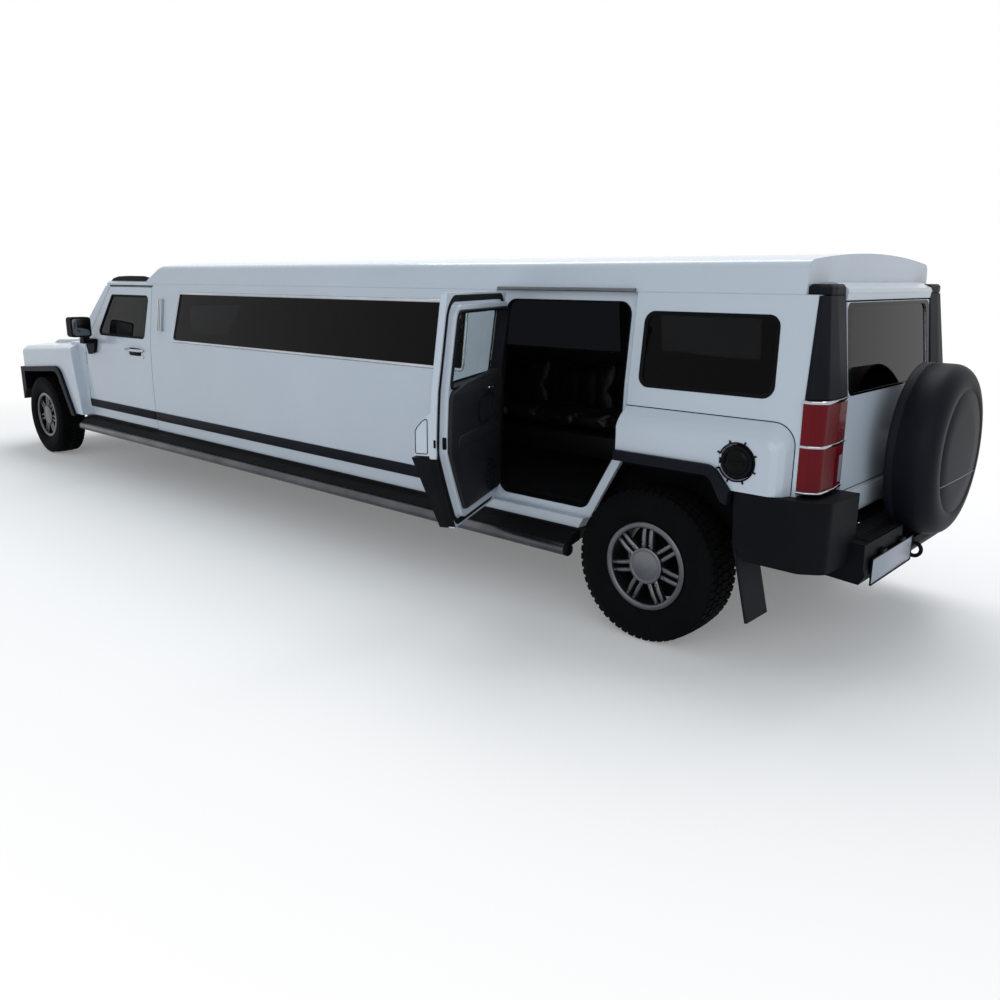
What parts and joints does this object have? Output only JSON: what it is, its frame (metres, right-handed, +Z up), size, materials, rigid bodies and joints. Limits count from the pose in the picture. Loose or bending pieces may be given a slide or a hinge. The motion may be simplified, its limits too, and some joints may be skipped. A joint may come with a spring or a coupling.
{
  "type": "stretch limousine",
  "caption": "Long white stretched off-road limousine with a raised roof, dark windows, black flares, a rear-mounted spare wheel, hinged doors, hood and tailgate, and steered front wheels.",
  "frame": {"origin": "on the ground under the middle of the wheelbase, in the car's centre plane", "axes": "+X towards the nose, +Y to the car's left, +Z up"},
  "size_m": [9.204, 2.8748, 1.9319],
  "materials": {
    "white_paint": "gloss white enamel",
    "black_plastic": "grained black moulding",
    "tinted_glass": "dark tinted pane",
    "screen_glass": "clear laminated pane",
    "lamp_glass": "clear lens",
    "red_lamp": "deep red lens",
    "chrome": "bright plating",
    "step_steel": "black step with a satin steel tube",
    "chassis_black": "black chassis paint",
    "engine_cast": "dark casting",
    "exhaust_steel": "weathered steel",
    "alloy": "satin cast alloy",
    "tyre_rubber": "black tread rubber",
    "dash_plastic": "soft black plastic",
    "seat_leather": "black hide"
  },
  "bodies": {
    "body": {"cab_frame": "white_paint", "roof": "white_paint", "side_panels": "white_paint", "quarter_panels": "white_paint", "door_frames": "white_paint", "front_fenders": "white_paint", "wheel_flares": "black_plastic", "front_bumper": "black_plastic", "rear_bumper": "black_plastic", "pillar_trims": "black_plastic", "rockers": "black_plastic", "fixed_windows": "tinted_glass", "windscreen": "screen_glass", "headlamps": "lamp_glass", "tail_lamps": "red_lamp", "coach_lamps": "chrome", "grille": "chrome", "running_boards": "step_steel", "chassis_rails": "chassis_black", "crossmembers": "chassis_black", "rear_axle": "chassis_black", "front_suspension": "chassis_black", "fuel_tank": "chassis_black", "floor": "chassis_black", "firewall": "chassis_black", "engine": "engine_cast", "exhaust": "exhaust_steel", "dashboard": "dash_plastic", "seats": "seat_leather"},
    "door_front_left": {"door_front_left": "white_paint", "glass_front_left": "tinted_glass", "mirror_left": "black_plastic"},
    "door_front_right": {"door_front_right": "white_paint", "glass_front_right": "tinted_glass", "mirror_right": "black_plastic"},
    "door_rear_left": {"door_rear_left": "white_paint", "glass_rear_left": "screen_glass", "door_flare_left": "black_plastic"},
    "door_rear_right": {"door_rear_right": "white_paint", "glass_rear_right": "screen_glass", "door_flare_right": "black_plastic"},
    "hood": {"hood": "white_paint"},
    "tailgate": {"tailgate": "white_paint", "tailgate_glass": "tinted_glass", "spare_wheel": "tyre_rubber", "spare_cover": "black_plastic"},
    "fuel_flap": {"fuel_flap": "black_plastic"},
    "knuckle_left": {"knuckle_left": "chassis_black"},
    "knuckle_right": {"knuckle_right": "chassis_black"},
    "wheel_front_left": {"tyre_front_left": "tyre_rubber", "rim_front_left": "alloy"},
    "wheel_front_right": {"tyre_front_right": "tyre_rubber", "rim_front_right": "alloy"},
    "wheel_rear_left": {"tyre_rear_left": "tyre_rubber", "rim_rear_left": "alloy"},
    "wheel_rear_right": {"tyre_rear_right": "tyre_rubber", "rim_rear_right": "alloy"}
  },
  "joints": [
    {"name": "front_door_left_swing", "type": "hinge", "parent": "body", "child": "door_front_left", "pos_m": [2.743, 0.866, 0.87], "axis": [0, 0, -1], "range_deg": [0, 70]},
    {"name": "front_door_right_swing", "type": "hinge", "parent": "body", "child": "door_front_right", "pos_m": [2.743, -0.866, 0.87], "axis": [0, 0, 1], "range_deg": [0, 70]},
    {"name": "rear_door_left_swing", "type": "hinge", "parent": "body", "child": "door_rear_left", "pos_m": [-2.547, 0.866, 0.87], "axis": [0, 0, -1], "range_deg": [-65, 5]},
    {"name": "rear_door_right_swing", "type": "hinge", "parent": "body", "child": "door_rear_right", "pos_m": [-2.547, -0.866, 0.87], "axis": [0, 0, 1], "range_deg": [0, 70]},
    {"name": "hood_lift", "type": "hinge", "parent": "body", "child": "hood", "pos_m": [2.924, 0, 1.202], "axis": [0, -1, 0], "range_deg": [0, 55]},
    {"name": "tailgate_swing", "type": "hinge", "parent": "body", "child": "tailgate", "pos_m": [-4.55, -0.6, 1.095], "axis": [0, 0, 1], "range_deg": [0, 80]},
    {"name": "fuel_flap_swing", "type": "hinge", "parent": "body", "child": "fuel_flap", "pos_m": [-4.069, 0.945, 1.003], "axis": [0, 0, -1], "range_deg": [0, 85]},
    {"name": "steer_left", "type": "hinge", "parent": "body", "child": "knuckle_left", "pos_m": [3.68, 0.66, 0.41], "axis": [0, 0, 1], "range_deg": [-32, 32]},
    {"name": "steer_right", "type": "hinge", "parent": "body", "child": "knuckle_right", "pos_m": [3.68, -0.66, 0.41], "axis": [0, 0, 1], "range_deg": [-32, 32]},
    {"name": "wheel_front_left_spin", "type": "hinge", "parent": "knuckle_left", "child": "wheel_front_left", "pos_m": [3.68, 0.8225, 0.398], "axis": [0, 1, 0], "continuous": true},
    {"name": "wheel_front_right_spin", "type": "hinge", "parent": "knuckle_right", "child": "wheel_front_right", "pos_m": [3.68, -0.8225, 0.398], "axis": [0, 1, 0], "continuous": true},
    {"name": "wheel_rear_left_spin", "type": "hinge", "parent": "body", "child": "wheel_rear_left", "pos_m": [-3.68, 0.8225, 0.398], "axis": [0, 1, 0], "continuous": true},
    {"name": "wheel_rear_right_spin", "type": "hinge", "parent": "body", "child": "wheel_rear_right", "pos_m": [-3.68, -0.8225, 0.398], "axis": [0, 1, 0], "continuous": true}
  ],
  "couplings": [
    {"joint": "steer_right", "follows": "steer_left", "ratio": 1}
  ]
}
